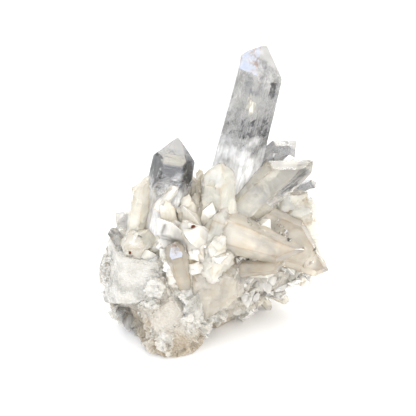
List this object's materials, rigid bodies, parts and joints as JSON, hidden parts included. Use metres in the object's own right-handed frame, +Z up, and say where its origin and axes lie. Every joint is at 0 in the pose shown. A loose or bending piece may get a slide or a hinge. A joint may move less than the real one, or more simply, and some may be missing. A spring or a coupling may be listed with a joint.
{
  "type": "quartz crystal cluster",
  "caption": "Natural cluster of clear and milky quartz points fanning out of a rough block of white vein quartz that rests on a flat.",
  "frame": {"origin": "middle of the flat that the block rests on", "axes": "+Z up, away from the surface that it rests on; +X to the right as the fan of crystals is looked at; the fan opens towards -Y"},
  "size_m": [0.0809, 0.06, 0.1028],
  "materials": {
    "clear_quartz": "bare natural crystal faces, glassy, faintly stepped and striated",
    "milky_quartz": "bare natural crystal faces, glassy over a cloudy cream-white inside",
    "vein_quartz": "bare broken massive quartz, sugary and rough, faint brown stain in the hollows"
  },
  "bodies": {
    "root": {"tall_point": "clear_quartz", "twin_blades": "milky_quartz", "upper_blade": "milky_quartz", "left_point": "clear_quartz", "cream_block": "milky_quartz", "front_brow": "milky_quartz", "back_low_point": "milky_quartz", "back_left_point": "milky_quartz", "back_right": "clear_quartz", "left_dome": "clear_quartz", "sheaf_tall": "milky_quartz", "back_middle_point": "clear_quartz", "back_side_point": "milky_quartz", "back_tall_point": "clear_quartz", "front_stub": "milky_quartz", "sheaf_beige": "milky_quartz", "front_clear": "clear_quartz", "left_blade": "clear_quartz", "left_leaf": "clear_quartz", "druse_far": "clear_quartz", "round_stub": "milky_quartz", "sheaf_white": "milky_quartz", "low_blade": "milky_quartz", "peach_stub": "milky_quartz", "druse_mid": "clear_quartz", "druse_brown": "milky_quartz", "back_nub": "clear_quartz", "sheaf_thin": "milky_quartz", "left_nub": "clear_quartz", "gap_stub": "clear_quartz", "gap_point": "clear_quartz", "druse_right": "clear_quartz", "left_wing": "clear_quartz", "druse_low": "clear_quartz", "vein_block": "vein_quartz"}
  },
  "joints": []
}
